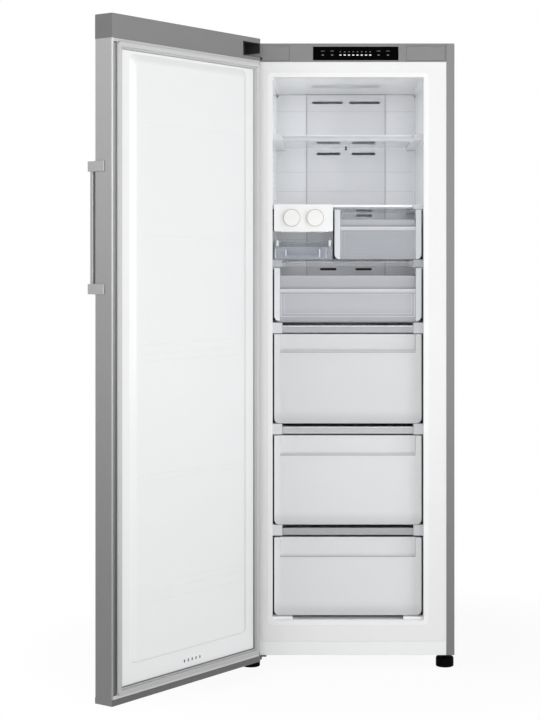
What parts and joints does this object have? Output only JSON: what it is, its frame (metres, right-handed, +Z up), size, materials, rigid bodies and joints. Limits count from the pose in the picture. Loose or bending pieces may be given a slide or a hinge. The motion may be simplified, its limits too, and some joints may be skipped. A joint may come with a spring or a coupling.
{
  "type": "upright freezer",
  "caption": "Tall single-door upright freezer, shown open, with clear drawers, glass shelves, a twist ice maker, a top control bar and a side handle.",
  "frame": {"origin": "on the floor under the middle of the cabinet's footprint, with the door and its handle left out", "axes": "+Z up, +X to the right seen from the front, +Y from the front to the back; the door swings on the left"},
  "size_m": [0.9568, 1.125, 1.7506],
  "materials": {
    "grey_steel": "satin",
    "grey_plastic": "satin",
    "white_plastic": "satin",
    "ice_tray_plastic": "satin",
    "zinc_steel": "satin",
    "foam": "matte",
    "black_panel": "gloss",
    "circuit_board": "satin",
    "shelf_glass": "gloss",
    "frosted_plastic": "satin",
    "smoked_plastic": "gloss",
    "sensor_plastic": "satin",
    "aluminium_coil": "satin",
    "heater_glass": "gloss",
    "dark_plastic": "matte",
    "black_steel": "satin",
    "rubber": "matte",
    "copper": "satin",
    "gasket_rubber": "matte",
    "handle_metal": "satin"
  },
  "bodies": {
    "cabinet": {"side_panels": "grey_steel", "control_bar": "grey_plastic", "hinge_covers": "grey_plastic", "inner_liner": "white_plastic", "toe_panel": "white_plastic", "shelf_trims": "white_plastic", "evaporator_cover": "white_plastic", "air_duct_cover": "white_plastic", "back_panel": "zinc_steel", "top_panel": "zinc_steel", "machine_bay_wall": "zinc_steel", "base_frame": "zinc_steel", "hinge_brackets": "zinc_steel", "hinge_screws": "zinc_steel", "condenser": "zinc_steel", "cabinet_foam": "foam", "display_panel": "black_panel", "control_board": "circuit_board", "shelf_glasses": "shelf_glass", "temperature_sensor": "sensor_plastic", "evaporator": "aluminium_coil", "defrost_heater": "heater_glass", "melt_water_drain": "dark_plastic", "evaporator_fan_motor": "dark_plastic", "condenser_fan_motor": "dark_plastic", "evaporation_pan": "dark_plastic", "rear_grille": "dark_plastic", "cord_gland": "dark_plastic", "compressor": "black_steel", "compressor_grommets": "rubber", "refrigerant_pipes": "copper"},
    "door": {"door_skin": "grey_steel", "door_caps": "grey_plastic", "door_liner": "white_plastic", "door_foam": "foam", "door_gasket": "gasket_rubber", "hinge_bushes": "dark_plastic", "handle_bar": "handle_metal", "handle_mounts": "handle_metal"},
    "ice_maker": {"ice_maker_housing": "white_plastic", "ice_springs": "zinc_steel"},
    "ice_tray_left": {"ice_tray_left": "ice_tray_plastic"},
    "ice_tray_right": {"ice_tray_right": "ice_tray_plastic"},
    "ice_bucket": {"ice_bucket": "smoked_plastic"},
    "evaporator_fan": {"evaporator_fan": "dark_plastic"},
    "condenser_fan": {"condenser_fan": "dark_plastic"},
    "foot_left": {"foot_left": "dark_plastic"},
    "foot_right": {"foot_right": "dark_plastic"},
    "roller_left": {"roller_left": "dark_plastic"},
    "roller_right": {"roller_right": "dark_plastic"},
    "drawer_1": {"drawer_1_front": "frosted_plastic", "drawer_1_bin": "frosted_plastic"},
    "drawer_2": {"drawer_2_front": "frosted_plastic", "drawer_2_bin": "frosted_plastic"},
    "drawer_3": {"drawer_3_front": "frosted_plastic", "drawer_3_bin": "frosted_plastic"},
    "drawer_4": {"drawer_4_front": "frosted_plastic", "drawer_4_bin": "frosted_plastic"},
    "drawer_5": {"drawer_5_front": "frosted_plastic", "drawer_5_bin": "frosted_plastic"}
  },
  "joints": [
    {"name": "door_hinge", "type": "hinge", "parent": "cabinet", "child": "door", "pos_m": [-0.2812, -0.3413, 0.9], "axis": [0, 0, -1], "range_deg": [-126, 9]},
    {"name": "drawer_1_slide", "type": "slide", "parent": "cabinet", "child": "drawer_1", "axis": [0, -1, 0], "range_m": [0, 0.36]},
    {"name": "drawer_2_slide", "type": "slide", "parent": "cabinet", "child": "drawer_2", "axis": [0, -1, 0], "range_m": [0, 0.36]},
    {"name": "drawer_3_slide", "type": "slide", "parent": "cabinet", "child": "drawer_3", "axis": [0, -1, 0], "range_m": [0, 0.36]},
    {"name": "drawer_4_slide", "type": "slide", "parent": "cabinet", "child": "drawer_4", "axis": [0, -1, 0], "range_m": [0, 0.36]},
    {"name": "drawer_5_slide", "type": "slide", "parent": "cabinet", "child": "drawer_5", "axis": [0, -1, 0], "range_m": [0, 0.25]},
    {"name": "ice_bucket_slide", "type": "slide", "parent": "cabinet", "child": "ice_bucket", "axis": [0, -1, 0], "range_m": [0, 0.3]},
    {"name": "ice_maker_slide", "type": "slide", "parent": "cabinet", "child": "ice_maker", "axis": [0, -1, 0], "range_m": [0, 0.26]},
    {"name": "ice_tray_left_twist", "type": "hinge", "parent": "ice_maker", "child": "ice_tray_left", "pos_m": [-0.15735, -0.283, 1.258], "axis": [0, 1, 0], "range_deg": [0, 120], "stiffness_Nm_per_rad": 0.1},
    {"name": "ice_tray_right_twist", "type": "hinge", "parent": "ice_maker", "child": "ice_tray_right", "pos_m": [-0.09165, -0.283, 1.258], "axis": [0, 1, 0], "range_deg": [0, 120], "stiffness_Nm_per_rad": 0.1},
    {"name": "foot_left_screw", "type": "hinge", "parent": "cabinet", "child": "foot_left", "pos_m": [-0.272, -0.267, 0.02], "axis": [0, 0, 1], "continuous": true},
    {"name": "roller_left_spin", "type": "hinge", "parent": "cabinet", "child": "roller_left", "pos_m": [-0.272, 0.255, 0.014], "axis": [1, 0, 0], "continuous": true},
    {"name": "foot_right_screw", "type": "hinge", "parent": "cabinet", "child": "foot_right", "pos_m": [0.272, -0.267, 0.02], "axis": [0, 0, 1], "continuous": true},
    {"name": "roller_right_spin", "type": "hinge", "parent": "cabinet", "child": "roller_right", "pos_m": [0.272, 0.255, 0.014], "axis": [1, 0, 0], "continuous": true},
    {"name": "evaporator_fan_spin", "type": "hinge", "parent": "cabinet", "child": "evaporator_fan", "pos_m": [0, 0.198, 0.86], "axis": [0, 1, 0], "continuous": true},
    {"name": "condenser_fan_spin", "type": "hinge", "parent": "cabinet", "child": "condenser_fan", "pos_m": [-0.012, 0.197, 0.142], "axis": [1, 0, 0], "continuous": true}
  ]
}
